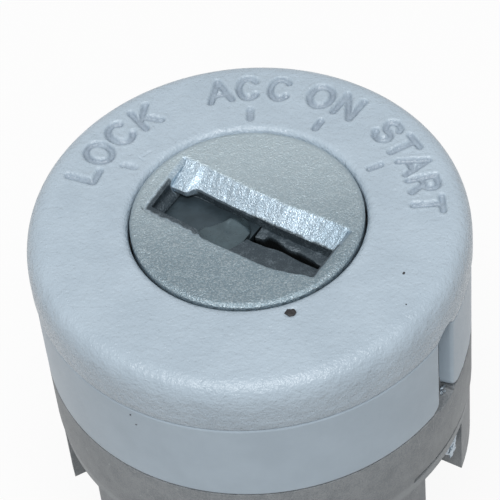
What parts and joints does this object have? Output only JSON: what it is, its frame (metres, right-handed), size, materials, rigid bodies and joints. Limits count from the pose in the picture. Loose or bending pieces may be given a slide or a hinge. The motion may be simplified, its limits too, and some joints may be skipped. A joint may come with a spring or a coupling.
{
  "type": "ignition lock cylinder",
  "caption": "Cylindrical ignition lock: painted bezel cap with switch position marks, cast housing with a ribbed barrel, and a keyed turning plug with a shuttered key recess.",
  "frame": {"origin": "centre of the rear face, on the lock axis", "axes": "+Z along the lock axis towards the key's side, +Y towards the ACC mark"},
  "size_m": [0.0384, 0.0384, 0.062],
  "materials": {
    "painted_cap": "satin blue-grey paint over a fine moulded grain",
    "cast_housing": "matte die-cast zinc, mottled",
    "cast_plug": "grainy die-cast zinc with rubbed edges",
    "shutter_steel": "dark greased steel",
    "bright_steel": "ground steel",
    "dark_steel": "blackened steel",
    "spring_wire": "drawn spring wire",
    "wafer_brass": "stamped brass",
    "seal_rubber": "matte black"
  },
  "bodies": {
    "lock_body": {"housing": "cast_housing", "bezel_cap": "painted_cap", "dust_seal": "seal_rubber", "detent_spring": "spring_wire", "detent_screw": "dark_steel", "plunger_spring": "spring_wire", "plunger_pin": "bright_steel", "return_spring": "spring_wire"},
    "plug_body": {"plug": "cast_plug", "thrust_washer": "bright_steel", "drive_tail": "cast_plug", "retaining_clip": "dark_steel", "shutter_pin": "bright_steel", "shutter_spring": "spring_wire", "wafer_spring_1": "spring_wire", "wafer_spring_2": "spring_wire", "wafer_spring_3": "spring_wire", "wafer_spring_4": "spring_wire", "wafer_spring_5": "spring_wire", "wafer_spring_6": "spring_wire", "wafer_spring_7": "spring_wire", "wafer_spring_8": "spring_wire"},
    "shutter_body": {"key_shutter": "shutter_steel"},
    "ball_body": {"detent_ball": "bright_steel"},
    "plunger_body": {"retaining_plunger": "bright_steel"},
    "wafer_body_1": {"wafer_1": "wafer_brass"},
    "wafer_body_2": {"wafer_2": "wafer_brass"},
    "wafer_body_3": {"wafer_3": "wafer_brass"},
    "wafer_body_4": {"wafer_4": "wafer_brass"},
    "wafer_body_5": {"wafer_5": "wafer_brass"},
    "wafer_body_6": {"wafer_6": "wafer_brass"},
    "wafer_body_7": {"wafer_7": "wafer_brass"},
    "wafer_body_8": {"wafer_8": "wafer_brass"}
  },
  "joints": [
    {"name": "plug_turn", "type": "hinge", "parent": "lock_body", "child": "plug_body", "pos_m": [0, 0, 0], "axis": [0, 0, -1], "range_deg": [0, 122], "deforming": ["return_spring"]},
    {"name": "shutter_swing", "type": "hinge", "parent": "plug_body", "child": "shutter_body", "pos_m": [-0.00619, 0.00387, 0.05875], "axis": [0.5299, 0.848, 0], "range_deg": [0, 88], "stiffness_Nm_per_rad": 0.0003, "springref_deg": -17.19, "deforming": ["shutter_spring"]},
    {"name": "detent_press", "type": "slide", "parent": "lock_body", "child": "ball_body", "axis": [0.5299, 0.848, 0], "range_m": [-0.0006, 0], "stiffness_N_per_m": 80, "springref_m": -0.002, "deforming": ["detent_spring"]},
    {"name": "plunger_press", "type": "slide", "parent": "lock_body", "child": "plunger_body", "axis": [0, 1, 0], "range_m": [0, 0.002], "stiffness_N_per_m": 100, "springref_m": -0.002, "deforming": ["plunger_spring"]},
    {"name": "wafer_slide_1", "type": "slide", "parent": "plug_body", "child": "wafer_body_1", "axis": [0.848, -0.5299, 0], "range_m": [-0.0008, 0], "stiffness_N_per_m": 60, "springref_m": -0.0008, "deforming": ["wafer_spring_1"]},
    {"name": "wafer_slide_2", "type": "slide", "parent": "plug_body", "child": "wafer_body_2", "axis": [-0.848, 0.5299, 0], "range_m": [-0.0008, 0], "stiffness_N_per_m": 60, "springref_m": -0.0008, "deforming": ["wafer_spring_2"]},
    {"name": "wafer_slide_3", "type": "slide", "parent": "plug_body", "child": "wafer_body_3", "axis": [0.848, -0.5299, 0], "range_m": [-0.0008, 0], "stiffness_N_per_m": 60, "springref_m": -0.0008, "deforming": ["wafer_spring_3"]},
    {"name": "wafer_slide_4", "type": "slide", "parent": "plug_body", "child": "wafer_body_4", "axis": [-0.848, 0.5299, 0], "range_m": [-0.0008, 0], "stiffness_N_per_m": 60, "springref_m": -0.0008, "deforming": ["wafer_spring_4"]},
    {"name": "wafer_slide_5", "type": "slide", "parent": "plug_body", "child": "wafer_body_5", "axis": [0.848, -0.5299, 0], "range_m": [-0.0008, 0], "stiffness_N_per_m": 60, "springref_m": -0.0008, "deforming": ["wafer_spring_5"]},
    {"name": "wafer_slide_6", "type": "slide", "parent": "plug_body", "child": "wafer_body_6", "axis": [-0.848, 0.5299, 0], "range_m": [-0.0008, 0], "stiffness_N_per_m": 60, "springref_m": -0.0008, "deforming": ["wafer_spring_6"]},
    {"name": "wafer_slide_7", "type": "slide", "parent": "plug_body", "child": "wafer_body_7", "axis": [0.848, -0.5299, 0], "range_m": [-0.0008, 0], "stiffness_N_per_m": 60, "springref_m": -0.0008, "deforming": ["wafer_spring_7"]},
    {"name": "wafer_slide_8", "type": "slide", "parent": "plug_body", "child": "wafer_body_8", "axis": [-0.848, 0.5299, 0], "range_m": [-0.0008, 0], "stiffness_N_per_m": 60, "springref_m": -0.0008, "deforming": ["wafer_spring_8"]}
  ]
}
